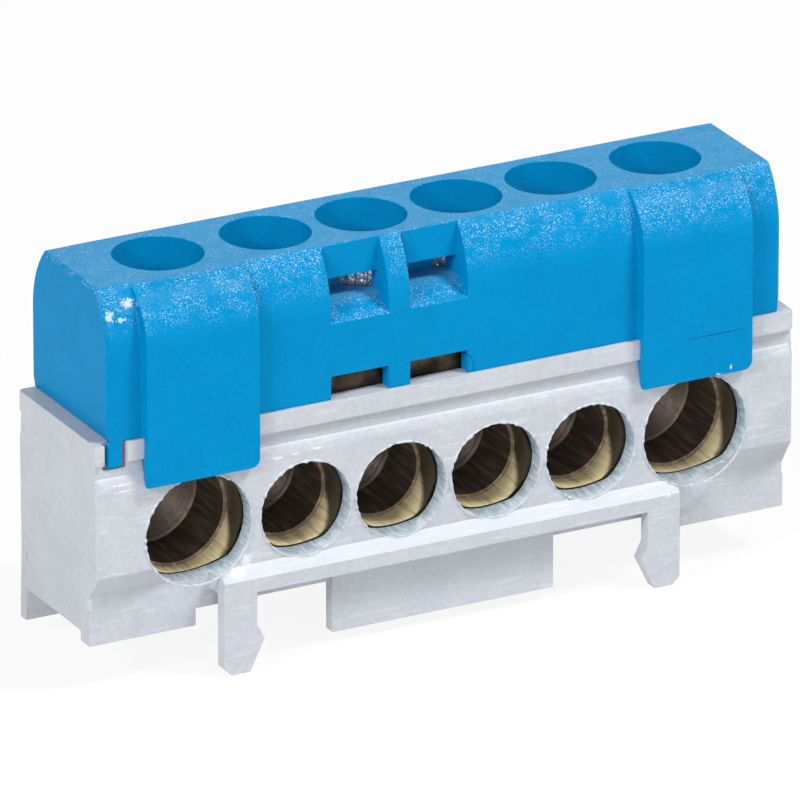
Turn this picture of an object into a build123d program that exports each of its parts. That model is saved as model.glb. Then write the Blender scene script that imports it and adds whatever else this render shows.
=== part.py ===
"""Neutral busbar: a drilled and tapped brass bar in a moulded base, under a snap-on cover, with six clamp screws.

Millimetres. X runs along the bar, the wire entries face -Y, and Z is up from the tips of the carrier legs.
"""

from build123d import *

import os
from math import radians, tan

# The brass bar: two rows of drilling meet in it, wires from the front and screws from above.
small_count = 4
bar_depth = 7.9
bar_height = 12.1
bar_end_land = 1.3
bar_edge_chamfer = 0.3
bar_foot_chamfer = 1.4
small_bore = 5.4
large_bore = 6.5
bore_floor = 0.65
mouth_relief = 0.2
mouth_depth = 1.95
bore_reach = 5.4
drill_point = 118.0

# The clamp screws, M5 with a low round head.
thread_diameter = 5.0
thread_clearance = 0.06
head_overhang = 0.1
head_height = 1.8
head_chamfer = 0.25
tip_chamfer = 0.5
tip_clearance = 0.1
head_lift = 3.7
slot_width = 0.8
slot_depth = 1.0
cross_length = 3.4
slot_turn = 35.0

# The base, a trough that carries the bar.
bar_side_clearance = 0.05
bar_end_clearance = 0.1
front_wall = 1.2
end_wall = 1.9
floor_rise = 0.55
keel_depth = 1.1
bar_stand_proud = 1.65
small_entry_margin = 0.35
large_entry_margin = 0.3
entry_web = 0.3
outer_web = 0.55
ledge_height = 1.3
neck_inset = 0.35
neck_height = 0.9
shoulder_height = 0.8
corner_chamfer = 0.2

# Its underside: lips, clip legs, foot plates and skirts.
lip_skirt_gap = 0.97
lip_projection = 0.68
lip_height = 0.9
flare_height = 0.7
leg_length = 5.05
leg_width = 2.22
leg_thickness = 0.93
leg_tip_chamfer = 0.5
barb_bump = 0.48
barb_height = 2.0
barb_half_height = 0.95
foot_half_length = 7.5
foot_length = 4.25
foot_thickness = 0.87
foot_inset = 0.7
skirt_length = 7.1
front_skirt_drop = 2.2
front_skirt_inset = 1.15
front_skirt_thickness = 1.2
skirt_chamfer_top = 2.55
skirt_chamfer_height = 1.55
back_skirt_drop = 3.65
back_skirt_thickness = 0.8
back_skirt_step = 0.2
end_wall_drop = 1.55
rib_height = 0.9

# The cover, a cap with six screw chambers.
cover_clearance = 0.1
cover_wall = 0.95
cover_end_wall = 1.05
chamber_clearance = 0.15
chamber_web = 0.8
chamber_land = 0.75
chamber_height = 7.65
cover_shoulder = 3.9
cover_foot_bevel = 0.2
cover_foot_height = 0.9
cover_end_chamfer = 0.2

# Its clip tongues, front and back, and the locating finger at its front left corner.
tongue_end_gap = 2.25
tongue_width = 7.5
tongue_thickness = 0.5
tongue_gap = 0.05
tongue_drop = 3.05
tongue_shoulder = 3.6
tongue_corner = 0.6
catch_gap = 0.05
catch_land = 0.3
catch_clearance = 0.1
catch_lead = 0.1
finger_width = 0.95
finger_thickness = 0.45
finger_drop = 1.6
finger_gap_end = 0.28
finger_gap_side = 0.28
finger_gap_below = 0.1
finger_gap_behind = 0.1

# Its two sight slots, either side of the third screw.
slot_opening = 3.85
slot_rib = 1.45
slot_land = 0.05
window_height = 1.3
window_below_top = 2.2
window_back = 1.5
ramp_drop = 0.95
notch_height = 1.45

# Places worked out from the sizes above. The wider of the entries and the chambers sets the pitch.
head_diameter = thread_diameter + 2 * head_overhang
chamber_diameter = head_diameter + 2 * chamber_clearance
small_entry = small_bore + 2 * small_entry_margin
large_entry = large_bore + 2 * large_entry_margin
small_pitch = max(small_entry + entry_web, chamber_diameter + chamber_web)
outer_step = max((small_entry + large_entry) / 2 + outer_web, chamber_diameter + chamber_web)
small_places = [(place - (small_count - 1) / 2) * small_pitch for place in range(small_count)]
large_places = [small_places[0] - outer_step, small_places[-1] + outer_step]
screw_places = [large_places[0], *small_places, large_places[-1]]

bar_half_length = screw_places[-1] + large_bore / 2 + mouth_relief + bar_end_land
bar_front = bar_depth / 2
lip_under = leg_length
floor_under = lip_under - keel_depth
floor_top = lip_under + floor_rise
bar_top = floor_top + bar_height
wire_height = floor_top + bore_floor + large_bore / 2

trough_half_length = bar_half_length + bar_end_clearance
trough_half_depth = bar_front + bar_side_clearance
base_half_length = trough_half_length + end_wall
base_half_depth = trough_half_depth + front_wall
ledge_top = bar_top - bar_stand_proud
ledge_under = ledge_top - ledge_height
neck_depth = base_half_depth - neck_inset
neck_under = ledge_under - neck_height
lip_depth = base_half_depth + lip_projection
lip_half_length = base_half_length - skirt_length - lip_skirt_gap

cover_half_length = bar_half_length + cover_clearance + cover_end_wall
cover_half_depth = bar_front + cover_clearance + cover_wall
cover_top = bar_top + chamber_height
cover_flat_half = chamber_diameter / 2 + chamber_land
head_under = bar_top + head_lift
tongue_front = base_half_depth + tongue_gap + tongue_thickness
tongue_inner = cover_half_length - tongue_end_gap - tongue_width
tongue_under = ledge_top - tongue_drop

slot_recess = cover_flat_half + slot_land
slot_offset = (slot_opening + slot_rib) / 2
slot_places = [screw_places[2] - slot_offset, screw_places[2] + slot_offset]
window_top = cover_top - window_below_top
window_under = window_top - window_height


def bore_radius(x):
    """The radius of the wire bore under the screw at x: the two end terminals take the thicker wires."""
    return large_bore / 2 if x in large_places else small_bore / 2


def mirrored(points, side):
    """The same outline on the front (side -1) or the back (side 1)."""
    return [(side * y, z) for y, z in points]


# The base housing: one moulding.
with BuildPart() as base_housing:
    # The trough's section runs the whole length, with a ledge and a neck for the cover on both sides.
    front_edge = [
        (0, floor_under),
        (base_half_depth - front_skirt_inset, floor_under),
        (base_half_depth - front_skirt_inset, lip_under + skirt_chamfer_top - skirt_chamfer_height),
        (base_half_depth, lip_under + skirt_chamfer_top),
        (base_half_depth, neck_under - shoulder_height),
    ]
    back_edge = [
        (0, floor_under),
        (base_half_depth - back_skirt_thickness, floor_under),
        (base_half_depth - back_skirt_thickness, lip_under + rib_height),
        (base_half_depth, lip_under + rib_height),
        (base_half_depth, neck_under - shoulder_height),
    ]
    with BuildSketch(Plane.YZ):
        for side, edge in ((-1, front_edge), (1, back_edge)):
            with BuildLine():
                lower = Polyline(*mirrored(edge, side))
                shoulder = TangentArc(
                    lower @ 1,
                    (side * neck_depth, neck_under),
                    tangent=(0, 1),
                )
                Polyline(
                    shoulder @ 1,
                    *mirrored(
                        [
                            (neck_depth, ledge_under),
                            (base_half_depth, ledge_under),
                            (base_half_depth, ledge_top),
                            (0, ledge_top),
                            (0, floor_under),
                        ],
                        side,
                    ),
                )
            make_face()
    extrude(amount=base_half_length, both=True)
    # The neck's short corners stay sharp.
    corners = base_housing.edges().filter_by(Axis.Z)
    chamfer(corners.filter_by(lambda edge: edge.length > neck_height + corner_chamfer), corner_chamfer)

    # A flared lip under the main face, between the skirts, carries the clip legs.
    lip_outline = [
        (bar_front - bar_foot_chamfer, lip_under),
        (lip_depth, lip_under),
        (lip_depth, lip_under + lip_height),
        (base_half_depth, lip_under + lip_height + flare_height),
        (base_half_depth, lip_under + skirt_chamfer_top),
        (bar_front - bar_foot_chamfer, lip_under + skirt_chamfer_top),
    ]
    with BuildSketch(Plane.YZ):
        for side in (-1, 1):
            with BuildLine():
                Polyline(*mirrored(lip_outline, side), close=True)
            make_face()
    extrude(amount=lip_half_length, both=True)

    # The skirts hang under the ends: the front ones set back, the back ones flush and longer, a wall between.
    front_skirt = [
        (base_half_depth - front_skirt_inset - front_skirt_thickness, lip_under - front_skirt_drop),
        (base_half_depth - front_skirt_inset, lip_under - front_skirt_drop),
        (base_half_depth - front_skirt_inset, lip_under),
        (base_half_depth - front_skirt_inset - front_skirt_thickness, lip_under),
    ]
    back_skirt = [
        (base_half_depth - back_skirt_thickness, lip_under - back_skirt_drop),
        (base_half_depth, lip_under - back_skirt_drop),
        (base_half_depth - back_skirt_step, lip_under + rib_height),
        (base_half_depth - back_skirt_thickness, lip_under + rib_height),
    ]
    wall_front = -(base_half_depth - front_skirt_inset - front_skirt_thickness / 2)
    wall_back = base_half_depth - back_skirt_thickness / 2
    for end in (-1, 1):
        with BuildSketch(Plane.YZ.offset(end * base_half_length)):
            for side, outline in ((-1, front_skirt), (1, back_skirt)):
                with BuildLine():
                    Polyline(*mirrored(outline, side), close=True)
                make_face()
        extrude(amount=-end * skirt_length)
        with BuildSketch(Plane.YZ.offset(end * base_half_length)):
            with Locations(((wall_front + wall_back) / 2, lip_under - end_wall_drop / 2)):
                Rectangle(wall_back - wall_front, end_wall_drop)
        extrude(amount=-end * end_wall)

    # Two foot plates and four barbed legs point down at the carrier.
    with BuildSketch(Plane.XY.offset(lip_under - foot_length)):
        with Locations(
            (0, foot_thickness / 2 - (base_half_depth - foot_inset)),
            (0, (base_half_depth - foot_inset) - foot_thickness / 2),
        ):
            Rectangle(2 * foot_half_length, foot_thickness)
    extrude(amount=foot_length)
    leg_inner = lip_half_length - leg_width
    leg_outline = [
        (lip_half_length, lip_under + lip_height),
        (lip_half_length, leg_tip_chamfer),
        (lip_half_length - leg_tip_chamfer, 0),
        (leg_inner + leg_tip_chamfer, 0),
        (leg_inner + leg_tip_chamfer / 2, leg_tip_chamfer),
        (leg_inner - barb_bump, barb_height),
        (leg_inner, barb_height + barb_half_height),
        (leg_inner, lip_under + lip_height),
    ]
    for plane_depth in (lip_depth - leg_thickness, -lip_depth):
        with BuildSketch(Plane.XZ.offset(plane_depth)):
            for end in (-1, 1):
                with BuildLine():
                    Polyline(*mirrored(leg_outline, end), close=True)
                make_face()
        extrude(amount=leg_thickness)

    # The trough, the wire entries and the notch for the cover's finger are cut last. The entries reach in past
    # the trough's foot chamfer, so that a thick wire lies clear of it.
    with BuildSketch(Plane.YZ):
        with Locations((0, (floor_top + ledge_top) / 2)):
            Rectangle(2 * trough_half_depth, ledge_top - floor_top)
        chamfer(vertices().group_by(Axis.Y)[0], bar_foot_chamfer)
    extrude(amount=trough_half_length, both=True, mode=Mode.SUBTRACT)
    with BuildSketch(Plane.XZ.offset(bar_front - bar_foot_chamfer)):
        with Locations(*[(x, wire_height) for x in small_places]):
            Circle(small_entry / 2)
        with Locations(*[(x, wire_height) for x in large_places]):
            Circle(large_entry / 2)
    extrude(amount=lip_depth, mode=Mode.SUBTRACT)
    notch_width = finger_gap_end + finger_width + finger_gap_side
    notch_centre = notch_width / 2 - cover_half_length - finger_gap_end
    notch_floor = ledge_top - finger_drop - finger_gap_below
    notch_back = cover_half_depth - finger_thickness - finger_gap_behind
    with BuildSketch(Plane.XZ.offset(notch_back)):
        with Locations((notch_centre, (notch_floor + ledge_top) / 2)):
            Rectangle(notch_width, ledge_top - notch_floor)
    extrude(amount=base_half_depth, mode=Mode.SUBTRACT)
base_housing.part.label = "base_housing"


# The terminal bar: sawn brass, drilled from the front and tapped from the top.
with BuildPart() as terminal_bar:
    with BuildSketch(Plane.XY.offset(floor_top)):
        Rectangle(2 * bar_half_length, bar_depth)
    extrude(amount=bar_height)
    long_edges = terminal_bar.edges().filter_by(Axis.X).group_by(Axis.Z)
    chamfer(long_edges[0], bar_foot_chamfer)
    chamfer(long_edges[-1], bar_edge_chamfer)
    # Each wire bore is a relieved mouth, a straight bore and the cone that the drill left.
    for x in screw_places:
        radius = bore_radius(x)
        bore_outline = [
            (-bar_front, wire_height),
            (-bar_front, wire_height + radius + mouth_relief),
            (mouth_depth - bar_front, wire_height + radius + mouth_relief),
            (mouth_depth - bar_front, wire_height + radius),
            (bore_reach - bar_front, wire_height + radius),
            (bore_reach - bar_front + radius / tan(radians(drill_point / 2)), wire_height),
        ]
        with BuildSketch(Plane.YZ.offset(x)):
            with BuildLine():
                Polyline(*bore_outline, close=True)
            make_face()
        revolve(axis=Axis((x, 0, wire_height), (0, 1, 0)), mode=Mode.SUBTRACT)
    with BuildSketch(Plane.XY.offset(bar_top)):
        with Locations(*[(x, 0) for x in screw_places]):
            Circle(thread_diameter / 2 + thread_clearance)
    extrude(amount=wire_height - bar_top, mode=Mode.SUBTRACT)
terminal_bar.part.label = "terminal_bar"


# The top cover: one moulding with a round chamber over each screw.
with BuildPart() as top_cover:
    with BuildSketch(Plane.YZ):
        with BuildLine():
            wall = Polyline(
                (0, ledge_top),
                (cover_half_depth, ledge_top),
                (cover_half_depth, cover_top - cover_shoulder),
            )
            arch = TangentArc(wall @ 1, (cover_flat_half, cover_top), tangent=(0, 1))
            Line(arch @ 1, (0, cover_top))
            mirror(about=Plane.YZ)
        make_face()
    extrude(amount=cover_half_length, both=True)
    for end_face in top_cover.faces().filter_by(Axis.X):
        foot_edge = end_face.edges().sort_by(Axis.Z)[0]
        chamfer(foot_edge, cover_foot_height, cover_foot_bevel, reference=end_face)
    end_outlines = ShapeList()
    for end_face in top_cover.faces().filter_by(Axis.X):
        end_outlines += end_face.edges().sort_by(Axis.Z)[1:]
    chamfer(end_outlines, cover_end_chamfer)

    # Clip tongues hang in front of the ledge and behind it, and catch under it.
    tongue_inside = tongue_front - tongue_thickness
    catch_top = ledge_under - catch_gap
    catch_depth = neck_depth + catch_clearance
    blade_outline = [
        (cover_flat_half, cover_top),
        (cover_half_depth - cover_wall / 2, ledge_top),
        (tongue_inside, ledge_top),
        (tongue_inside, catch_top),
        (catch_depth, catch_top),
        (catch_depth, catch_top - catch_land),
        (tongue_inside + catch_lead, tongue_under),
        (tongue_front, tongue_under),
        (tongue_front, cover_top - tongue_shoulder),
    ]
    for left_side in (-tongue_inner - tongue_width, tongue_inner):
        with BuildSketch(Plane.YZ.offset(left_side)):
            for side in (-1, 1):
                with BuildLine():
                    blade = Polyline(*mirrored(blade_outline, side))
                    TangentArc(blade @ 1, (side * cover_flat_half, cover_top), tangent=(0, 1))
                make_face()
        extrude(amount=tongue_width)
        right_corners = (
            top_cover.edges()
            .filter_by(Axis.Y)
            .group_by(Axis.Z)[0]
            .filter_by(lambda edge: edge.center().X > left_side + tongue_width / 2)
        )
        fillet(right_corners, tongue_corner)

    # A finger of the front wall reaches down through the notch in the ledge.
    with BuildSketch(Plane.XZ.offset(cover_half_depth - finger_thickness)):
        with Locations((finger_width / 2 - cover_half_length, ledge_top - finger_drop / 2)):
            Rectangle(finger_width, finger_drop)
    extrude(amount=finger_thickness)

    # The bar's seat, and a chamber that runs from it out through the top over each screw.
    seat_half_length = bar_half_length + cover_clearance
    seat_half_depth = bar_front + cover_clearance
    with BuildSketch(Plane.XY.offset(ledge_top)):
        Rectangle(2 * seat_half_length, 2 * seat_half_depth)
    extrude(amount=bar_stand_proud + cover_clearance, mode=Mode.SUBTRACT)
    with BuildSketch(Plane.XY.offset(bar_top)):
        with Locations(*[(x, 0) for x in screw_places]):
            Circle(chamber_diameter / 2)
    extrude(amount=chamber_height, mode=Mode.SUBTRACT)

    # The sight slots: a flat recess with a ramp, a window into the chambers and a notch at the foot.
    recess_outline = [
        (slot_recess, cover_top),
        (slot_recess, window_under),
        (cover_half_depth, window_under - ramp_drop),
        (cover_half_depth, cover_top),
    ]
    for x in slot_places:
        with BuildSketch(Plane.YZ.offset(x)):
            with BuildLine():
                Polyline(*mirrored(recess_outline, -1), close=True)
            make_face()
            with Locations((-(slot_recess + window_back) / 2, (window_under + window_top) / 2)):
                Rectangle(slot_recess - window_back, window_height)
            with Locations((-(cover_half_depth + seat_half_depth) / 2, ledge_top + notch_height / 2)):
                Rectangle(cover_half_depth - seat_half_depth, notch_height)
        extrude(amount=slot_opening / 2, both=True, mode=Mode.SUBTRACT)
top_cover.part.label = "top_cover"


# The clamp screws: a plain core at thread size, a chamfered tip and a cross-slotted round head.
clamp_screws = []
for number, x in enumerate(screw_places, start=1):
    tip = wire_height + bore_radius(x) + tip_clearance
    with BuildPart() as clamp_screw:
        screw_outline = [
            (x, tip),
            (x + thread_diameter / 2 - tip_chamfer, tip),
            (x + thread_diameter / 2, tip + tip_chamfer),
            (x + thread_diameter / 2, head_under),
            (x + head_diameter / 2, head_under),
            (x + head_diameter / 2, head_under + head_height - head_chamfer),
            (x + head_diameter / 2 - head_chamfer, head_under + head_height),
            (x, head_under + head_height),
        ]
        with BuildSketch(Plane.XZ):
            with BuildLine():
                Polyline(*screw_outline, close=True)
            make_face()
        revolve(axis=Axis((x, 0, 0), (0, 0, 1)))
        with BuildSketch(Plane.XY.offset(head_under + head_height)):
            with Locations((x, 0)):
                Rectangle(head_diameter, slot_width, rotation=number * slot_turn)
                Rectangle(slot_width, cross_length, rotation=number * slot_turn)
        extrude(amount=-slot_depth, mode=Mode.SUBTRACT)
    clamp_screw.part.label = f"clamp_screw_{number}"
    clamp_screws.append(clamp_screw.part)


os.makedirs("parts", exist_ok=True)
export_step(base_housing.part, "parts/base_housing.step")
export_step(terminal_bar.part, "parts/terminal_bar.step")
export_step(top_cover.part, "parts/top_cover.step")
for screw in clamp_screws:
    export_step(screw, f"parts/{screw.label}.step")
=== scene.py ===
"""The looks of the neutral busbar: a brass bar in a grey base, a blue cover with six chambers, six screws.

The part's own frame is in metres. X runs along the bar, the wire entries face -Y, and Z is up from the tips
of the clip legs. Sizes are written in millimetres and turned into metres where a mesh is made.
"""

import logging
import math
import random
from dataclasses import dataclass, field
from enum import Enum
from functools import cached_property
from typing import Callable, Sequence

import bpy
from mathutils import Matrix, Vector


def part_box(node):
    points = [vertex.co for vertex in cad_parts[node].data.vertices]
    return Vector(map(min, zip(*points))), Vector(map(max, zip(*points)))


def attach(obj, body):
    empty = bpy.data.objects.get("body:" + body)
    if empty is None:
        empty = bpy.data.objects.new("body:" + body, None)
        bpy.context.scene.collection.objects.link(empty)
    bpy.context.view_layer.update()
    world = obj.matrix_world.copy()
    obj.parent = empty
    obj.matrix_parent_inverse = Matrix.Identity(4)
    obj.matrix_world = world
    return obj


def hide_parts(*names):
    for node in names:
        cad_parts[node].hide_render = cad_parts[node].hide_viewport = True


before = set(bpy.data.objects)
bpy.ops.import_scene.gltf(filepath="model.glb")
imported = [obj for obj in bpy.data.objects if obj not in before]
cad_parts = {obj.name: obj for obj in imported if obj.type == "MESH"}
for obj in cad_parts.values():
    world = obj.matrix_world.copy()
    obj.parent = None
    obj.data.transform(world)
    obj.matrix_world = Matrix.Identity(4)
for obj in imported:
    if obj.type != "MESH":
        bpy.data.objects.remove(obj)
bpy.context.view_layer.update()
log = logging.getLogger("busbar")

MM = 0.001
MERGE_WITHIN = 0.002 * MM
FLAT_WITHIN = math.radians(0.6)
CORNER_FROM = math.radians(50)
NOISE_MIDDLE = 0.5

Triple = tuple[float, float, float]
Colour = Triple
Span = tuple[float, float]
FaceRule = Callable[[bpy.types.MeshPolygon], bool]


class Body(Enum):
    """The bodies of the frame that pieces ride on."""

    HOUSING = "housing"
    SCREW = "screw_{number}"


class Slot(Enum):
    """Material slot names, one for each finish."""

    GREY_PLASTIC = "grey_plastic"
    BLUE_PLASTIC = "blue_plastic"
    BRASS = "brass"
    PLATED_STEEL = "plated_steel"


class Field:
    """A value over a surface: one output socket of a node, on which Python's operators add Math nodes."""

    def __init__(self, graph: "Graph", socket: bpy.types.NodeSocket) -> None:
        """Wraps the socket of a node in graph."""
        self.graph = graph
        self.socket = socket

    def __add__(self, other: "Field | float") -> "Field":
        """The sum."""
        return self.graph.math("ADD", self, other)

    __radd__ = __add__

    def __sub__(self, other: "Field | float") -> "Field":
        """The difference."""
        return self.graph.math("SUBTRACT", self, other)

    def __rsub__(self, other: float) -> "Field":
        """The difference from a number, as in 1 - mask."""
        return self.graph.math("SUBTRACT", other, self)

    def __mul__(self, other: "Field | float") -> "Field":
        """The product."""
        return self.graph.math("MULTIPLY", self, other)

    __rmul__ = __mul__

    def __truediv__(self, other: "Field | float") -> "Field":
        """The quotient."""
        return self.graph.math("DIVIDE", self, other)

    def __pow__(self, other: float) -> "Field":
        """The power."""
        return self.graph.math("POWER", self, other)

    def size(self) -> "Field":
        """The value without its sign."""
        return self.graph.math("ABSOLUTE", self)

    def rise(self, low: float, high: float) -> "Field":
        """A smooth step of the value.

        Args:
            low: Where the step starts.
            high: Where it ends. Below low, the step falls instead.

        Returns:
            0 before low and 1 past high.
        """
        ends = {"From Min": low, "From Max": high, "To Min": 0.0, "To Max": 1.0}
        if high < low:
            ends = {"From Min": high, "From Max": low, "To Min": 1.0, "To Max": 0.0}
        return self.graph.node(
            "ShaderNodeMapRange", {"interpolation_type": "SMOOTHSTEP"}, {"Value": self, **ends}
        )


class Graph:
    """The node tree of a material or of the world."""

    def __init__(self, owner: "bpy.types.Material | bpy.types.World") -> None:
        """Starts an empty tree in the material or world that owns it."""
        self.owner = owner
        owner.use_nodes = True
        self.tree = owner.node_tree
        self.tree.nodes.clear()

    @cached_property
    def place(self) -> Field:
        """The position in the part's own frame, in millimetres."""
        return self.scaled(self.node("ShaderNodeTexCoord", output="Object"), (1 / MM,) * 3)

    def node(
        self, kind: str, settings: dict | None = None, inputs: dict | None = None, output: int | str = 0
    ) -> Field:
        """Adds a node.

        Args:
            kind: The node's type.
            settings: Its own settings, made first.
            inputs: Values or fields for its sockets, by name or number.
            output: The socket that is wanted, by name or number.

        Returns:
            The field on that socket.
        """
        made = self.tree.nodes.new(kind)
        for name, value in (settings or {}).items():
            setattr(made, name, value)
        for name, value in (inputs or {}).items():
            if isinstance(value, Field):
                self.tree.links.new(value.socket, made.inputs[name])
            else:
                made.inputs[name].default_value = value
        return Field(self, made.outputs[output])

    def math(self, operation: str, first: "Field | float", second: "Field | float | None" = None) -> Field:
        """One Math node on one or two values."""
        inputs = {0: first} if second is None else {0: first, 1: second}
        return self.node("ShaderNodeMath", {"operation": operation}, inputs)

    def waves(self, along: Field, pitch: float) -> Field:
        """A sine wave along a position, from -1 to 1, with its pitch in millimetres."""
        return self.math("SINE", along * (2 * math.pi / pitch))

    def scaled(self, vector: Field, factors: Triple) -> Field:
        """A vector with each axis multiplied by its own factor."""
        return self.node("ShaderNodeVectorMath", {"operation": "MULTIPLY"}, {0: vector, 1: factors})

    def split(self, vector: Field) -> tuple[Field, Field, Field]:
        """The x, y and z of a vector."""
        parts = self.node("ShaderNodeSeparateXYZ", inputs={"Vector": vector}).socket.node.outputs
        return tuple(Field(self, parts[axis]) for axis in "XYZ")

    def axes(self) -> tuple[Field, Field, Field]:
        """The position's x, y and z in millimetres."""
        return self.split(self.place)

    def facing(self) -> tuple[Field, Field, Field]:
        """The x, y and z of the way that the surface faces, without its bumps."""
        return self.split(self.node("ShaderNodeNewGeometry", output="Normal"))

    def noise(
        self, width: float, detail: float = 2.0, stretch: Triple = (1, 1, 1), distortion: float = 0.0
    ) -> Field:
        """Soft noise.

        Args:
            width: The width of one patch, in millimetres.
            detail: How many finer layers it has.
            stretch: How far the patches are drawn out along each axis.
            distortion: How far they are swirled.

        Returns:
            A field from 0 to 1, about NOISE_MIDDLE on the average.
        """
        inputs = {
            "Vector": self.scaled(self.place, tuple(1 / factor for factor in stretch)),
            "Scale": 1 / width,
            "Detail": detail,
            "Distortion": distortion,
        }
        return self.node("ShaderNodeTexNoise", inputs=inputs)

    def cells(self, width: float) -> Field:
        """The distance to the centre of the nearest of many cells, each of that width in millimetres."""
        inputs = {"Vector": self.place, "Scale": 1 / width}
        return self.node("ShaderNodeTexVoronoi", inputs=inputs, output="Distance")

    def mix(self, share: "Field | float", first: "Field | Colour", second: "Field | Colour") -> Field:
        """A colour between two colours: first where share is 0, second where it is 1."""
        ends = [value if isinstance(value, Field) else (*value, 1.0) for value in (first, second)]
        return self.node(
            "ShaderNodeMix", {"data_type": "RGBA"}, {0: share, 6: ends[0], 7: ends[1]}, output=2
        )

    def bump(self, height: Field, depth: float, under: Field | None = None) -> Field:
        """A normal that follows a height.

        Args:
            height: The height, from 0 to 1.
            depth: What a height of 1 stands for, in millimetres.
            under: Another bump's normal that this one lies on.

        Returns:
            The normal.
        """
        inputs = {"Height": height, "Distance": depth * MM}
        if under is not None:
            inputs["Normal"] = under
        return self.node("ShaderNodeBump", inputs=inputs)

    def finish(self, varying: dict, constants: dict) -> bpy.types.Material:
        """Ends the tree in a Principled shader.

        Args:
            varying: Fields for the sockets that vary over the surface.
            constants: Plain values for the others.

        Returns:
            The material.
        """
        self.end(self.node("ShaderNodeBsdfPrincipled", inputs={**constants, **varying}))
        return self.owner

    def end(self, shader: Field) -> None:
        """Links a shader to the output of the material or world."""
        kind = "World" if isinstance(self.owner, bpy.types.World) else "Material"
        out = self.tree.nodes.new(f"ShaderNodeOutput{kind}")
        self.tree.links.new(shader.socket, out.inputs["Surface"])


@dataclass(frozen=True)
class Mark:
    """A small round mark on the front. Its place is its middle along X and Z, in millimetres."""

    x: float
    z: float
    half_width: float
    half_height: float

    def spread(self, across: Field, up: Field) -> Field:
        """The distance from the middle, where 1 is the mark's own outline.

        Args:
            across: The position along X.
            up: The position along Z.

        Returns:
            0 at the middle, 1 on the outline and more outside it.
        """
        wide = (across - self.x) / self.half_width
        high = (up - self.z) / self.half_height
        return (wide * wide + high * high) ** 0.5


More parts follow.
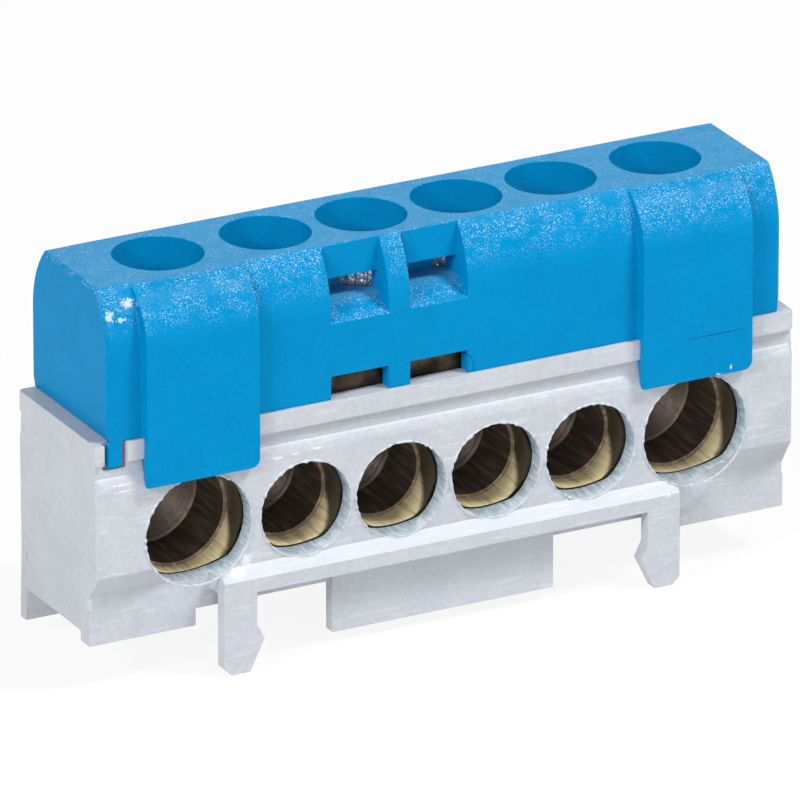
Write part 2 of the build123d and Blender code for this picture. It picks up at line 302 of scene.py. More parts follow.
@dataclass(frozen=True)
class MouldedPlastic:
    """Injection-moulded plastic with a fine spark-eroded grain, scuffed by handling, with painted glints on
    faces that slope upward and a painted sheen on level tops.

    Colours are linear, widths and depths are in millimetres. A span says where a smooth step starts and
    ends, a share how much of a thing mixes in, and a dulling how much a pattern changes the roughness. The
    marks lie on what stands before marks_from along Y.
    """

    name: str
    colour: Colour
    patch_colour: Colour
    roughness: float
    gloss: float
    grain_width: float
    grain_depth: float
    grain_dulling: float = 0.25
    pit_spacing: float = 1.2
    pit_share: float = 0.4
    patch_width: float = 3.0
    patch_share: float = 0.45
    patch_dulling: float = 0.1
    mottle_span: Span = (0.33, 0.67)
    swirl_width: float = 1.4
    swirl_depth: float = 0.004
    streak_share: float = 0.0
    streak_width: float = 0.22
    streak_length: float = 12.0
    streak_span: Span = (0.56, 0.74)
    # The specks are painted glints and the top share is a painted sheen on level tops; both use the speck
    # colour, as the pale streaks do.
    speck_colour: Colour = (0.8, 0.8, 0.8)
    speck_share: float = 0.0
    speck_width: float = 0.09
    speck_span: Span = (0.52, 0.68)
    glint_patch_width: float = 1.1
    glint_patch_span: Span = (0.3, 0.6)
    slope_span: Span = (0.1, 0.6)
    level_span: Span = (0.9, 0.99)
    level_relief: float = 0.5
    painted_top_sheen: float = 0.0
    marks_from: float = -3.6
    marks_fade: float = 0.1
    scuffs: Sequence[Mark] = ()
    scuff_share: float = 0.6
    scuff_colour: Colour = (0.82, 0.86, 0.88)
    scuff_grain: float = 0.14
    scuff_tearing: float = 2.4
    scuff_span: Span = (1.0, 0.4)
    pin_marks: Sequence[Mark] = ()
    creases: Sequence[Mark] = ()
    crease_span: Span = (1.0, 0.3)
    line_width: float = 0.07
    line_depth: float = 0.04
    line_share: float = 0.35
    line_colour: Colour = (0.0, 0.03, 0.08)

    def material(self) -> bpy.types.Material:
        """The finish as a material."""
        graph = Graph(bpy.data.materials.new(self.name))
        patches = graph.noise(self.patch_width, detail=3.0)
        grain = graph.noise(self.grain_width, detail=1.5)
        mottle = (self.patch_share * patches + (1 - self.patch_share) * grain).rise(*self.mottle_span)
        colour = self._streaks_and_painted_glints(graph, graph.mix(mottle, self.patch_colour, self.colour))
        swirl = graph.noise(self.swirl_width, detail=1.0, distortion=0.6)
        colour, normal = self._marked(graph, colour, graph.bump(swirl, self.swirl_depth))
        pits = graph.cells(self.grain_width * self.pit_spacing)
        height = (1 - self.pit_share) * grain + self.pit_share * pits
        uneven = self.grain_dulling * (grain - NOISE_MIDDLE)
        blotched = self.patch_dulling * (patches - NOISE_MIDDLE)
        varying = {
            "Base Color": colour,
            "Roughness": self.roughness + uneven + blotched,
            "Normal": graph.bump(height, self.grain_depth, normal),
        }
        return graph.finish(varying, {"Specular IOR Level": self.gloss})

    def _streaks_and_painted_glints(self, graph: Graph, colour: Field) -> Field:
        """Lays pale streaks on a colour, painted glints in patches where it slopes upward, and a painted sheen
        where it is level.

        Args:
            graph: The material's graph.
            colour: The colour under them.

        Returns:
            The colour with them.
        """
        stretch = (self.streak_length, 1, 1)
        streaks = graph.noise(self.streak_width, detail=3.0, stretch=stretch).rise(*self.streak_span)
        colour = graph.mix(streaks * self.streak_share, colour, self.speck_colour)
        specks = graph.noise(self.speck_width, detail=3.0).rise(*self.speck_span)
        upward = graph.facing()[2]
        level = upward.rise(*self.level_span)
        glint_patches = graph.noise(self.glint_patch_width, detail=2.0).rise(*self.glint_patch_span)
        painted_glint_mask = glint_patches * upward.rise(*self.slope_span) * (1 - self.level_relief * level)
        # Painted glints in patches on faces that slope upward, and a painted sheen on level tops.
        share = specks * painted_glint_mask * self.speck_share + self.painted_top_sheen * level
        return graph.mix(share, colour, self.speck_colour)

    def _marked(self, graph: Graph, colour: Field, normal: Field) -> tuple[Field, Field]:
        """Lays the scuffs and the sunk lines on the front.

        Args:
            graph: The material's graph.
            colour: The colour under them.
            normal: The normal under them.

        Returns:
            The colour and the normal with them.
        """
        across, y, up = graph.axes()
        front = y.rise(self.marks_from + self.marks_fade, self.marks_from)
        torn = self.scuff_tearing * (graph.noise(self.scuff_grain, detail=3.0) - NOISE_MIDDLE)
        for scuff in self.scuffs:
            pale = (scuff.spread(across, up) + torn).rise(*self.scuff_span)
            colour = graph.mix(self.scuff_share * front * pale, colour, self.scuff_colour)
        for line in self._lines(across, up):
            # The lines are darkened as painted shade in their grooves.
            colour = graph.mix(self.line_share * front * line, colour, self.line_colour)
            normal = graph.bump(1 - front * line, self.line_depth, normal)
        return colour, normal

    def _lines(self, across: Field, up: Field) -> list[Field]:
        """The thin sunk lines: the rings of ejector pins and the creases of bent tongues.

        Args:
            across: The position along X.
            up: The position along Z.

        Returns:
            One field a line, 1 in its middle.
        """
        rings = []
        for mark in self.pin_marks:
            beside = ((mark.spread(across, up) - 1) * mark.half_width).size()
            rings.append(beside.rise(self.line_width, 0.0))
        return rings + [mark.spread(across, up).rise(*self.crease_span) for mark in self.creases]


@dataclass(frozen=True)
class CutPlastic:
    """The same plastic where a drill has cut it: duller, torn in rings, with painted shade deeper in and where
    the wall faces down, and darker tears.

    Widths and depths are in millimetres. The cut runs from front to back along Y.
    """

    name: str
    colour: Colour
    deep_colour: Colour
    roughness: float = 0.6
    gloss: float = 0.3
    front: float = -5.2
    back: float = -4.0
    ring_pitch: float = 0.22
    ring_depth: float = 0.03
    ring_share: float = 0.5
    ring_wander: float = 0.3
    tear_width: float = 0.24
    tear_stretch: Triple = (1, 4, 1)
    tear_span: Span = (0.35, 0.62)
    tear_dulling: float = 0.2
    under_span: Span = (-0.5, 0.7)
    painted_shade_behind: float = 0.35
    painted_shade_under: float = 0.45
    dark_torn: float = 0.5

    def material(self) -> bpy.types.Material:
        """The finish as a material."""
        graph = Graph(bpy.data.materials.new(self.name))
        y = graph.axes()[1]
        tears = graph.noise(self.tear_width, detail=4.0, stretch=self.tear_stretch)
        rings = graph.waves(y + self.ring_wander * tears, self.ring_pitch)
        behind = y.rise(self.front, self.back)
        under = 1 - graph.facing()[2].rise(*self.under_span)
        torn = tears.rise(*self.tear_span) - NOISE_MIDDLE
        # Painted shade deeper in the entry and where its wall faces down, plus darker tears.
        dark = self.painted_shade_behind * behind + self.painted_shade_under * under + self.dark_torn * torn
        varying = {
            "Base Color": graph.mix(graph.math("MAXIMUM", dark, 0.0), self.colour, self.deep_colour),
            "Roughness": self.roughness + self.tear_dulling * (tears - NOISE_MIDDLE),
            "Normal": graph.bump(self.ring_share * rings + tears, self.ring_depth),
        }
        return graph.finish(varying, {"Specular IOR Level": self.gloss})


@dataclass(frozen=True)
class SawnBrass:
    """The bar's outside: sawn, then left bare, so it is dull, stained and scratched along the bar."""

    name: str = "sawn_brass"
    colour: Colour = (0.105, 0.08, 0.055)
    stain: Colour = (0.028, 0.022, 0.017)
    stain_width: float = 1.6
    stain_span: Span = (0.35, 0.65)
    roughness: float = 0.42
    scratch_width: float = 0.12
    scratch_stretch: Triple = (14, 1, 1.6)
    scratch_depth: float = 0.012
    scratch_dulling: float = 0.3

    def material(self) -> bpy.types.Material:
        """The finish as a material."""
        graph = Graph(bpy.data.materials.new(self.name))
        scratches = graph.noise(self.scratch_width, detail=3.0, stretch=self.scratch_stretch)
        clean = graph.noise(self.stain_width, detail=4.0).rise(*self.stain_span)
        varying = {
            "Base Color": graph.mix(clean, self.stain, self.colour),
            "Roughness": self.roughness + self.scratch_dulling * (scratches - NOISE_MIDDLE),
            "Normal": graph.bump(scratches, self.scratch_depth),
        }
        return graph.finish(varying, {"Metallic": 1.0})


@dataclass(frozen=True)
class DrilledBrass:
    """The inside of the wire bores: painted lit gold where the relieved mouth's wall faces up, painted shade
    on the rest of the mouth, and streaked brass in painted shade deeper in, darkest at the drill's cone.

    Places along Y, widths and depths are in millimetres. The mouth ends at the relief's step, mouth_end, and
    the drill's cone starts at cone_from. The metal values are chosen for how bright the photo shows the brass.
    """

    name: str = "drilled_brass"
    # The mouth colour is painted lit gold and shade is the mouth's painted shade; deep and cone are painted
    # shade further in.
    mouth: Colour = (1.0, 0.84, 0.50)
    mouth_streak: float = 0.75
    shade: Colour = (0.22, 0.18, 0.12)
    streak: Colour = (0.50, 0.40, 0.30)
    deep: Colour = (0.24, 0.195, 0.16)
    cone: Colour = (0.085, 0.066, 0.052)
    mouth_end: float = -2.0
    mouth_fade: Span = (0.08, 0.03)
    mouth_depth: float = 1.95
    cone_from: float = 1.3
    cone_fade: float = 0.3
    mouth_roughness: float = 0.3
    deep_roughness: float = 0.4
    mouth_metal: float = 0.1
    deep_metal: float = 0.75
    lit_by_facing: float = 1.9
    lit_by_depth: float = 1.2
    lit_span: Span = (0.0, 0.5)
    streak_width: float = 0.3
    streak_stretch: Triple = (1, 12, 1)
    streak_dulling: float = 0.25
    deep_streak_span: Span = (0.42, 0.7)
    mouth_streak_span: Span = (0.35, 0.6)
    ring_pitch: float = 0.16
    ring_depth: float = 0.006
    ring_share: float = 0.35
    ring_wander: float = 0.15

    def material(self) -> bpy.types.Material:
        """The finish as a material."""
        graph = Graph(bpy.data.materials.new(self.name))
        y = graph.axes()[1]
        streaks = graph.noise(self.streak_width, detail=4.0, stretch=self.streak_stretch)
        rings = graph.waves(y + self.ring_wander * streaks, self.ring_pitch)
        behind = y.rise(*(self.mouth_end - before for before in self.mouth_fade))
        inward = (y - self.mouth_end + self.mouth_depth) / self.mouth_depth
        upward = graph.facing()[2]
        # Painted light: the mouth is lit gold where its wall faces up and near the front, and in painted shade
        # elsewhere; the metal value drops where it is lit.
        lit = self.lit_by_facing * upward + self.lit_by_depth * inward - self.lit_by_depth
        lit = lit.rise(*self.lit_span)
        duller = tuple(self.mouth_streak * part for part in self.mouth)
        painted_lit_gold = graph.mix(streaks.rise(*self.mouth_streak_span), duller, self.mouth)
        # Deeper in, the colour is painted shade with real streaks, darkest at the drill's cone.
        wall = 1 - y.rise(self.cone_from, self.cone_from + self.cone_fade)
        streaks_and_deep_shade = graph.mix(streaks.rise(*self.deep_streak_span) * wall, self.deep, self.streak)
        streaks_and_deep_shade = graph.mix(wall, self.cone, streaks_and_deep_shade)
        roughness = self.mouth_roughness + (self.deep_roughness - self.mouth_roughness) * behind
        varying = {
            "Base Color": graph.mix(behind, graph.mix(lit, self.shade, painted_lit_gold), streaks_and_deep_shade),
            "Roughness": roughness + self.streak_dulling * (streaks - NOISE_MIDDLE),
            "Metallic": self.deep_metal - (self.deep_metal - self.mouth_metal) * lit * (1 - behind),
            "Normal": graph.bump(self.ring_share * rings + streaks, self.ring_depth),
        }
        return graph.finish(varying, {})


@dataclass(frozen=True)
class PlatedSteel:
    """Zinc plate on turned steel: bright, ridged round the head's side, a little crumpled by handling.

    Widths and depths are in millimetres. The metal value is chosen for how bright the photo shows the heads.
    """

    name: str = "plated_steel"
    colour: Colour = (0.80, 0.80, 0.79)
    dull: Colour = (0.40, 0.40, 0.42)
    dull_span: Span = (0.2, 0.55)
    metal: float = 0.75
    roughness: float = 0.2
    grain_width: float = 0.08
    grain_depth: float = 0.004
    grain_dulling: float = 0.3
    grain_level: float = 0.4
    dent_width: float = 0.4
    dent_depth: float = 0.12
    top_share: float = 0.12
    side_span: Span = (0.6, 0.3)
    ridge_pitch: float = 0.42
    ridge_depth: float = 0.03
    ridge_wander: float = 0.12

    def material(self) -> bpy.types.Material:
        """The finish as a material."""
        graph = Graph(bpy.data.materials.new(self.name))
        x = graph.axes()[0]
        upright = graph.facing()[2].size().rise(*self.side_span)
        dents = graph.noise(self.dent_width, detail=2.0, distortion=1.2)
        grain = graph.noise(self.grain_width, detail=2.0)
        ridges = graph.waves(x + self.ridge_wander * dents, self.ridge_pitch)
        crumpled = graph.bump(dents * (self.top_share + (1 - self.top_share) * upright), self.dent_depth)
        ridged = graph.bump(upright * ridges, self.ridge_depth, crumpled)
        varying = {
            "Base Color": graph.mix(dents.rise(*self.dull_span), self.dull, self.colour),
            "Roughness": self.roughness + self.grain_dulling * (grain - self.grain_level),
            "Normal": graph.bump(grain, self.grain_depth, ridged),
        }
        return graph.finish(varying, {"Metallic": self.metal})


@dataclass(frozen=True)
class PaleFloor:
    """The white table: it keeps the object's soft shadow, and cameras and reflections see it near white."""

    name: str = "pale_floor"
    colour: Colour = (0.82, 0.82, 0.82)
    lighter: float = 1.04
    speckle_width: float = 2.0
    whitening: float = 0.9

    def material(self) -> bpy.types.Material:
        """The finish as a material."""
        graph = Graph(bpy.data.materials.new(self.name))
        speckle = graph.noise(self.speckle_width, detail=2.0)
        pale = graph.mix(speckle, self.colour, tuple(self.lighter * part for part in self.colour))
        matt = graph.node("ShaderNodeBsdfDiffuse", inputs={"Color": pale})
        white = graph.node("ShaderNodeEmission", inputs={"Color": (1, 1, 1, 1), "Strength": 1.0})
        seen = graph.node("ShaderNodeLightPath", output="Is Camera Ray")
        paths = seen.socket.node.outputs
        mirrored = Field(graph, paths["Is Glossy Ray"]) + Field(graph, paths["Is Transmission Ray"])
        share = graph.math("MINIMUM", seen + mirrored, 1.0) * self.whitening
        graph.end(graph.node("ShaderNodeMixShader", inputs={0: share, 1: matt, 2: white}))
        return graph.owner


class Bench:
    """Blender's own modelling operators, used as by hand: everything is deselected before each of them."""

    @staticmethod
    def clear() -> None:
        """Leaves edit mode and deselects every object."""
        if bpy.context.mode != "OBJECT":
            bpy.ops.object.mode_set(mode="OBJECT")
        bpy.ops.object.select_all(action="DESELECT")

    @classmethod
    def pick(cls, *pieces: bpy.types.Object) -> None:
        """Selects these pieces alone. The last one is the active one."""
        cls.clear()
        for piece in pieces:
            piece.select_set(True)
        bpy.context.view_layer.objects.active = pieces[-1]

    @classmethod
    def edit(cls, piece: bpy.types.Object, rule: FaceRule | None = None) -> None:
        """Opens a piece in edit mode with some of its faces selected.

        Args:
            piece: The piece.
            rule: Says of each face whether it is selected. None selects them all.
        """
        cls.pick(piece)
        if rule is not None:
            wanted = [rule(face) for face in piece.data.polygons]
            piece.data.vertices.foreach_set("select", [False] * len(piece.data.vertices))
            piece.data.edges.foreach_set("select", [False] * len(piece.data.edges))
            piece.data.polygons.foreach_set("select", wanted)
        bpy.ops.object.mode_set(mode="EDIT")
        bpy.ops.mesh.select_mode(type="FACE")
        if rule is None:
            bpy.ops.mesh.select_all(action="SELECT")

    @classmethod
    def copy_of_node(cls, node: str, name: str) -> bpy.types.Object:
        """A piece with a node's shape, its loose triangles merged into whole faces.

        Args:
            node: The frame's node. It stays as it is.
            name: The new piece's name.

        Returns:
            The new piece.
        """
        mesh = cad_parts[node].data.copy()
        mesh.materials.clear()
        mesh.name = name
        piece = bpy.data.objects.new(name, mesh)
        bpy.context.scene.collection.objects.link(piece)
        cls.edit(piece)
        bpy.ops.mesh.customdata_custom_splitnormals_clear()
        bpy.ops.mesh.remove_doubles(threshold=MERGE_WITHIN)
        bpy.ops.mesh.normals_make_consistent(inside=False)
        bpy.ops.mesh.dissolve_limited(angle_limit=FLAT_WITHIN)
        cls.clear()
        return piece

    @classmethod
    def modify(cls, piece: bpy.types.Object, kind: str, **settings: object) -> None:
        """Adds a modifier to a piece and applies it."""
        cls.pick(piece)
        modifier = piece.modifiers.new(kind.lower(), kind)
        for name, value in settings.items():
            setattr(modifier, name, value)
        bpy.ops.object.modifier_apply(modifier=modifier.name)

    @classmethod
    def soften(cls, piece: bpy.types.Object, node: str, width: float) -> None:
        """Rounds a piece's corners, those sharper than CORNER_FROM, without leaving the box of its node.

        Args:
            piece: The piece.
            node: The node that it was copied from.
            width: The width of the rounding, in millimetres.
        """
        cls.modify(
            piece,
            "BEVEL",
            width=width * MM,
            segments=2,
            limit_method="ANGLE",
            angle_limit=CORNER_FROM,
            use_clamp_overlap=False,
        )
        low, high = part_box(node)
        for vertex in piece.data.vertices:
            vertex.co = [min(max(part, least), most) for part, least, most in zip(vertex.co, low, high)]

    @classmethod
    def smooth(cls, piece: bpy.types.Object, crease: float = 32.0) -> None:
        """Shades a piece smooth up to a crease angle in degrees, with its large flat faces kept flat."""
        cls.pick(piece)
        bpy.ops.object.shade_smooth_by_angle(angle=math.radians(crease))
        cls.modify(piece, "WEIGHTED_NORMAL", keep_sharp=True)

    @classmethod
    def join(cls, piece: bpy.types.Object, *others: bpy.types.Object) -> None:
        """Makes other pieces part of this one."""
        cls.pick(*others, piece)
        bpy.ops.object.join()
        cls.clear()

    @staticmethod
    def dress(piece: bpy.types.Object, *finishes: bpy.types.Material) -> None:
        """Gives a piece its materials, the first one all over."""
        piece.data.materials.clear()
        for finish in finishes:
            piece.data.materials.append(finish)

    @staticmethod
    def paint(piece: bpy.types.Object, number: int, rule: FaceRule) -> None:
        """Gives some faces another of the piece's materials.

        Args:
            piece: The piece.
            number: The material's place in the piece's list.
            rule: Says of each face whether it is painted.
        """
        for face in piece.data.polygons:
            if rule(face):
                face.material_index = number

    @staticmethod
    def settle(piece: bpy.types.Object, body: str, slot: Slot, *nodes: str) -> None:
        """Hands a finished piece to the frame.

        Args:
            piece: The piece, in place.
            body: The body that it rides on.
            slot: Not used.
            nodes: The nodes that it stands for.
        """
        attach(piece, body)
        if nodes:
            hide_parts(*nodes)
        log.info("%s: %d faces on %s", piece.name, len(piece.data.polygons), body)


@dataclass
class WireEntries:
    """Where the wires go in: six round entries on one height, in millimetres."""

    places: Sequence[float] = (-16.75, -9.6, -3.2, 3.2, 9.6, 16.75)
    height: float = 9.5
    entry_radii: Sequence[float] = (3.55, 3.05, 3.05, 3.05, 3.05, 3.55)
    mouth_radii: Sequence[float] = (3.45, 2.9, 2.9, 2.9, 2.9, 3.45)

    def hold(self, face: bpy.types.MeshPolygon, radii: Sequence[float], slack: float) -> bool:
        """Whether the middle of a face lies in the round space of a wire.

        Args:
            face: The face.
            radii: The spaces' radii.
            slack: How far outside its radius the middle may lie.

        Returns:
            True inside, at any depth.
        """
        x, _, z = (part / MM for part in face.center)
        return any(
            math.hypot(x - place, z - self.height) < radius + slack
            for place, radius in zip(self.places, radii)
        )


@dataclass
class BaseHousing:
    """The grey trough that carries the bar, with its lips, skirts, foot plates and clip legs."""

    entries: WireEntries
    edge_rounding: float = 0.07
    front: float = -5.2
    cut_facing: float = 0.95
    cut_slack: float = 0.1
    burr_width: float = 0.17
    burr_steps: int = 96
    burr_seed: int = 5
    burr_ragged: Span = (0.3, 1.0)
    burr_torn: Span = (0.5, 1.8)
    moulded: MouldedPlastic = MouldedPlastic(
        name="grey_moulding",
        colour=(0.53, 0.557, 0.60),
        patch_colour=(0.47, 0.497, 0.54),
        streak_share=0.3,
        scuffs=(
            Mark(-11.5, 13.1, half_width=0.45, half_height=0.12),
            Mark(-10.3, 13.15, half_width=0.3, half_height=0.1),
            Mark(-8.9, 13.25, half_width=0.5, half_height=0.1),
            Mark(-21.9, 13.35, half_width=0.9, half_height=0.08),
            Mark(-21.7, 12.95, half_width=0.8, half_height=0.07),
            Mark(14.6, 5.9, half_width=0.25, half_height=0.12),
            Mark(-14.3, 6.4, half_width=0.6, half_height=0.4),
            Mark(-13.6, 7.0, half_width=0.4, half_height=0.5),
        ),
        roughness=0.4,
        gloss=0.25,
        grain_width=0.3,
        grain_depth=0.01,
    )
    cut: CutPlastic = CutPlastic("grey_cut", colour=(0.60, 0.68, 0.74), deep_colour=(0.19, 0.25, 0.30))

    def burr(self, place: float, radius: float, draws: random.Random) -> bpy.types.Object:
        """The torn rim that the drill left round one entry: a thin ring of ragged width.

        Args:
            place: The entry's place along X.
            radius: Its radius.
            draws: Where the raggedness comes from.

        Returns:
            The ring.
        """
        Bench.clear()
        centre = Vector((place, self.front, self.entries.height)) * MM
        bpy.ops.mesh.primitive_torus_add(
            major_segments=self.burr_steps,
            minor_segments=6,
            major_radius=radius * MM,
            minor_radius=self.burr_width / 2 * MM,
            location=centre,
            rotation=(math.pi / 2, 0, 0),
        )
        ring = bpy.context.object
        bpy.ops.object.transform_apply(location=True, rotation=True)
        swell = [
            draws.uniform(*self.burr_ragged) * draws.uniform(*self.burr_torn)
            for _ in range(self.burr_steps)
        ]
        for vertex in ring.data.vertices:
            spoke = vertex.co - centre
            step = round(math.atan2(spoke.z, spoke.x) / (2 * math.pi) * self.burr_steps)
            spoke.y = 0
            middle = centre + spoke.normalized() * radius * MM
            vertex.co = middle + (vertex.co - middle) * swell[step % self.burr_steps]
        return ring

    def is_cut(self, face: bpy.types.MeshPolygon) -> bool:
        """Whether a face is the wall of an entry or its torn rim."""
        inside = self.entries.hold(face, self.entries.entry_radii, self.cut_slack)
        return inside and abs(face.normal.y) < self.cut_facing

    def build(self) -> None:
        """Makes the base and dresses it."""
        base = Bench.copy_of_node("base_housing", "base_moulding")
        Bench.soften(base, "base_housing", self.edge_rounding)
        draws = random.Random(self.burr_seed)
        burrs = [
            self.burr(place, radius, draws)
            for place, radius in zip(self.entries.places, self.entries.entry_radii)
        ]
        Bench.join(base, *burrs)
        Bench.smooth(base)
        Bench.dress(base, self.moulded.material(), self.cut.material())
        Bench.paint(base, 1, self.is_cut)
        Bench.settle(base, Body.HOUSING.value, Slot.GREY_PLASTIC, "base_housing")


@dataclass
class TopCover:
    """The blue cover with its chambers, tongues, sight slots and finger."""

    edge_rounding: float = 0.09
    moulded: MouldedPlastic = MouldedPlastic(
        name="blue_moulding",
        colour=(0.0004, 0.246, 0.53),
        patch_colour=(0.0004, 0.220, 0.48),
        roughness=0.32,
        gloss=0.03,
        grain_width=0.2,
        grain_depth=0.028,
        # The specks are painted glints and the top share a painted sheen on level tops.
        speck_colour=(0.50, 0.74, 0.88),
        speck_share=0.65,
        painted_top_sheen=0.08,
        scuffs=(
            Mark(-20.9, 24.4, half_width=0.5, half_height=0.3),
            Mark(-22.2, 23.9, half_width=0.3, half_height=0.4),
            Mark(-21.5, 23.6, half_width=0.4, half_height=0.15),
            Mark(18.9, 13.4, half_width=0.12, half_height=0.2),
            Mark(18.0, 13.1, half_width=0.2, half_height=0.09),
        ),
        pin_marks=(Mark(0.75, 16.4, half_width=1.03, half_height=1.03),),
        creases=(Mark(17.8, 15.7, half_width=2.6, half_height=0.08),),
    )

    def build(self) -> None:
        """Makes the cover and dresses it."""
        cover = Bench.copy_of_node("top_cover", "cover_moulding")
        Bench.soften(cover, "top_cover", self.edge_rounding)
        Bench.smooth(cover)
        Bench.dress(cover, self.moulded.material())
        Bench.settle(cover, Body.HOUSING.value, Slot.BLUE_PLASTIC, "top_cover")


@dataclass
class TerminalBar:
    """The brass bar, drilled from the front and tapped from above."""

    entries: WireEntries
    edge_rounding: float = 0.05
    bore_slack: float = 0.02
    sawn: SawnBrass = SawnBrass()
    drilled: DrilledBrass = DrilledBrass()

    def build(self) -> None:
        """Makes the bar and dresses it."""
        bar = Bench.copy_of_node("terminal_bar", "brass_bar")
        Bench.soften(bar, "terminal_bar", self.edge_rounding)
        Bench.smooth(bar)
        Bench.dress(bar, self.sawn.material(), self.drilled.material())
        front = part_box("terminal_bar")[0].y + self.edge_rounding * MM
        radii, slack = self.entries.mouth_radii, self.bore_slack
        Bench.paint(bar, 1, lambda face: face.center.y > front and self.entries.hold(face, radii, slack))
        Bench.settle(bar, Body.HOUSING.value, Slot.BRASS, "terminal_bar")


@dataclass
class ClampScrews:
    """The six clamp screws: a slotted round head on a threaded shank. Sizes are in millimetres."""

    places: Sequence[float]
    head_height: float = 1.8
    edge_rounding: float = 0.05
    thread_radius: float = 2.5
    thread_pitch: float = 0.8
    thread_depth: float = 0.42
    crest_share: float = 0.12
    spare_turns: int = 3
    steps_a_turn: int = 24
    core_gap: float = 0.15
    tip_chamfer: float = 0.5
    crease: float = 28.0
    slack: float = 0.01
    finish: PlatedSteel = PlatedSteel()

    def headed_core(self, number: int, place: float, under: float) -> bpy.types.Object:
        """One screw's head on a core that is drawn in, to lie inside the thread.

        Args:
            number: The screw's number.
            place: Its place along X.
            under: The height of the head's underside.

        Returns:
            The head and core, in place.
        """
        node = f"clamp_screw_{number}"
        screw = Bench.copy_of_node(node, f"machine_screw_{number}")
        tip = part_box(node)[0].z
        core = self.thread_radius - self.thread_depth - self.core_gap
        for vertex in screw.data.vertices:
            across = vertex.co.x - place * MM
            on_head = vertex.co.z > (under + self.slack) * MM
            if on_head or math.hypot(across, vertex.co.y) > (self.thread_radius + 2 * self.slack) * MM:
                continue
            vertex.co.x = place * MM + across * core / self.thread_radius
            vertex.co.y *= core / self.thread_radius
            vertex.co.z = max(vertex.co.z, tip + self.core_gap * MM)
        Bench.soften(screw, node, self.edge_rounding)
        return screw

    def profile(self) -> bpy.types.Object:
        """One turn's profile in the XZ plane: root, flank, crest and flank, as a chain of edges."""
        Bench.clear()
        bpy.ops.mesh.primitive_plane_add(size=self.thread_pitch * MM, rotation=(math.pi / 2, 0, 0))
        profile = bpy.context.object
        bpy.ops.object.transform_apply(rotation=True)
        root = self.thread_radius - self.thread_depth
        crest_height = self.crest_share * self.thread_pitch / 2
        for vertex in profile.data.vertices:
            side = 1 if vertex.co.z > 0 else -1
            if vertex.co.x > 0:
                vertex.co = Vector((self.thread_radius, 0, side * crest_height)) * MM
            else:
                vertex.co = Vector((root, 0, side * self.thread_pitch / 2)) * MM
        Bench.edit(profile)
        bpy.ops.mesh.delete(type="ONLY_FACE")
        bpy.ops.object.mode_set(mode="OBJECT")
        for edge in profile.data.edges:
            ends = [profile.data.vertices[number].co.x for number in edge.vertices]
            edge.select = max(ends) < (root + self.slack) * MM
        bpy.ops.object.mode_set(mode="EDIT")
        bpy.ops.mesh.select_mode(type="EDGE")
        bpy.ops.mesh.delete(type="EDGE")
        Bench.clear()
        return profile

    def shank(self, length: float) -> bpy.types.Object:
        """A threaded shank on the origin, from Z 0 down to its chamfered tip.

        Args:
            length: The shank's length, in millimetres.

        Returns:
            The shank.
        """
        shank = self.profile()
        turns = math.ceil(length / self.thread_pitch) + self.spare_turns
        Bench.modify(
            shank,
            "SCREW",
            axis="Z",
            angle=2 * math.pi * turns,
            screw_offset=self.thread_pitch * turns * MM,
            steps=self.steps_a_turn * turns,
            render_steps=self.steps_a_turn * turns,
            use_merge_vertices=True,
            merge_threshold=MERGE_WITHIN,
        )
        for vertex in shank.data.vertices:
            vertex.co.z -= (length + self.spare_turns / 2 * self.thread_pitch) * MM
        Bench.edit(shank)
        bpy.ops.mesh.remove_doubles(threshold=MERGE_WITHIN)
        for height, above in ((self.core_gap, True), (-length, False)):
            bpy.ops.mesh.select_all(action="SELECT")
            bpy.ops.mesh.bisect(
                plane_co=(0, 0, height * MM),
                plane_no=(0, 0, 1),
                use_fill=True,
                clear_outer=above,
                clear_inner=not above,
                threshold=MERGE_WITHIN,
            )
        bpy.ops.mesh.select_all(action="SELECT")
        bpy.ops.mesh.normals_make_consistent(inside=False)
        Bench.clear()
        for vertex in shank.data.vertices:
            reach = math.hypot(vertex.co.x, vertex.co.y)
            allowed = (self.thread_radius - self.tip_chamfer + (vertex.co.z / MM + length)) * MM
            if reach > allowed:
                vertex.co.xy *= allowed / reach
        return shank

    def build(self) -> None:
        """Makes the six screws, their threads in two lengths of one pattern, and dresses them."""
        finish = self.finish.material()
        threads: dict[float, bpy.types.Object] = {}
        for number, place in enumerate(self.places, start=1):
            node = f"clamp_screw_{number}"
            low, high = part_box(node)
            under = high.z / MM - self.head_height
            length = round(under - low.z / MM, 3)
            if length not in threads:
                threads[length] = self.shank(length)
            thread = bpy.data.objects.new("thread", threads[length].data.copy())
            bpy.context.scene.collection.objects.link(thread)
            Bench.edit(thread)
            bpy.ops.transform.translate(value=(place * MM, 0, under * MM))
            screw = self.headed_core(number, place, under)
            Bench.join(screw, thread)
            Bench.smooth(screw, self.crease)
            Bench.dress(screw, finish)
            Bench.settle(screw, Body.SCREW.value.format(number=number), Slot.PLATED_STEEL, node)
        for pattern in threads.values():
            bpy.data.objects.remove(pattern)


def direction(azimuth: float, elevation: float) -> Vector:
    """The direction from the object to a camera or lamp. Azimuth 0 stands in front, at -Y."""
    turn, rise = math.radians(azimuth), math.radians(elevation)
    return Vector((math.sin(turn) * math.cos(rise), -math.cos(turn) * math.cos(rise), math.sin(rise)))


def stand(thing: bpy.types.Object, aim: Vector, back: Vector, distance: float) -> None:
    """Puts a lamp or camera into the scene and turns it to its aim.

    Args:
        thing: The lamp or camera.
        aim: The point that it looks at.
        back: The direction from the aim to it.
        distance: How far off it stands, in metres.
    """
    bpy.context.scene.collection.objects.link(thing)
    thing.location = aim + back * distance
    thing.rotation_euler = (-back).to_track_quat("-Z", "Y").to_euler()


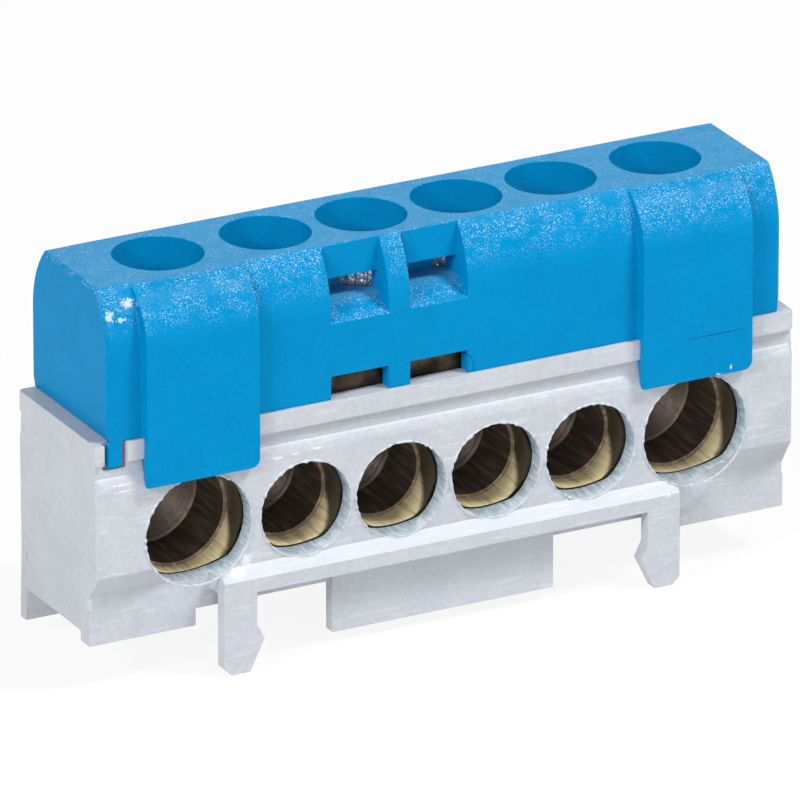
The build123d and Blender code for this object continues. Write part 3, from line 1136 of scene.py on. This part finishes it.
@dataclass(frozen=True)
class Softbox:
    """A square soft light that points at the object. Its lengths are in metres, its power is in watts."""

    name: str
    azimuth: float
    elevation: float
    distance: float
    size: float
    power: float

    def place(self, aim: Vector) -> None:
        """Makes the light and turns it to the aim."""
        data = bpy.data.lights.new(self.name, "AREA")
        data.shape = "SQUARE"
        data.size = self.size
        data.energy = self.power
        lamp = bpy.data.objects.new(self.name, data)
        stand(lamp, aim, direction(self.azimuth, self.elevation), self.distance)


@dataclass
class Studio:
    """The pale floor, the soft lights and the camera at the photograph's angle.

    The aim, the lens and the sensor are in millimetres, and the other lengths are in metres.
    """

    azimuth: float = -27.715
    elevation: float = 22.218
    distance: float = 0.8987
    aim: Triple = (-0.57, 0.0, 12.88)
    lens: float = 675.0
    sensor: float = 36.0
    sight: float = 10.0
    floor_radius: float = 3.0
    floor_rim: float = 0.1
    ambient: float = 0.3
    floor: PaleFloor = PaleFloor()
    lights: Sequence[Softbox] = field(
        default_factory=lambda: (
            Softbox("key_light", azimuth=48.5, elevation=55.0, distance=0.6, size=0.12, power=2.6),
            Softbox("front_fill", azimuth=-22.0, elevation=10.0, distance=0.9, size=0.4, power=1.5),
            Softbox("side_fill", azimuth=-66.0, elevation=30.0, distance=0.8, size=0.24, power=3.7),
        )
    )

    def lay_floor(self) -> None:
        """A wide round table with a rim, its top at the tips of the legs."""
        Bench.clear()
        bpy.ops.mesh.primitive_circle_add(vertices=96, radius=self.floor_radius, fill_type="NGON")
        floor = bpy.context.object
        floor.name = "pale_table"
        Bench.edit(floor)
        bpy.ops.mesh.inset(thickness=self.floor_rim)
        Bench.clear()
        Bench.dress(floor, self.floor.material())

    def light_world(self) -> None:
        """Soft light from all round, which cameras and reflections see as white."""
        world = bpy.data.worlds.new("studio_world")
        bpy.context.scene.world = world
        graph = Graph(world)
        seen = graph.node("ShaderNodeLightPath", output="Is Camera Ray")
        seen = seen + Field(graph, seen.socket.node.outputs["Is Glossy Ray"])
        strengths = {"Value": seen, "To Min": self.ambient, "To Max": 1.0}
        strength = graph.node("ShaderNodeMapRange", inputs=strengths)
        graph.end(graph.node("ShaderNodeBackground", inputs={"Strength": strength}))

    def set_camera(self) -> None:
        """The camera, far off with a long lens."""
        data = bpy.data.cameras.new("photo_camera")
        data.lens = self.lens
        data.sensor_width = self.sensor
        data.clip_end = self.sight
        camera = bpy.data.objects.new("photo_camera", data)
        stand(camera, Vector(self.aim) * MM, direction(self.azimuth, self.elevation), self.distance)
        bpy.context.scene.camera = camera

    def build(self) -> None:
        """Sets the whole studio up."""
        self.lay_floor()
        self.light_world()
        for light in self.lights:
            light.place(Vector(self.aim) * MM)
        self.set_camera()
        bpy.context.scene.view_settings.view_transform = "Standard"
        log.info("studio: %d lights and a camera", len(self.lights))


def main() -> None:
    """Builds the part and the studio, in order."""
    logging.basicConfig(level=logging.INFO, format="%(name)s %(message)s")
    entries = WireEntries()
    BaseHousing(entries).build()
    TerminalBar(entries).build()
    TopCover().build()
    ClampScrews(entries.places).build()
    Studio().build()


if __name__ == "__main__":
    main()
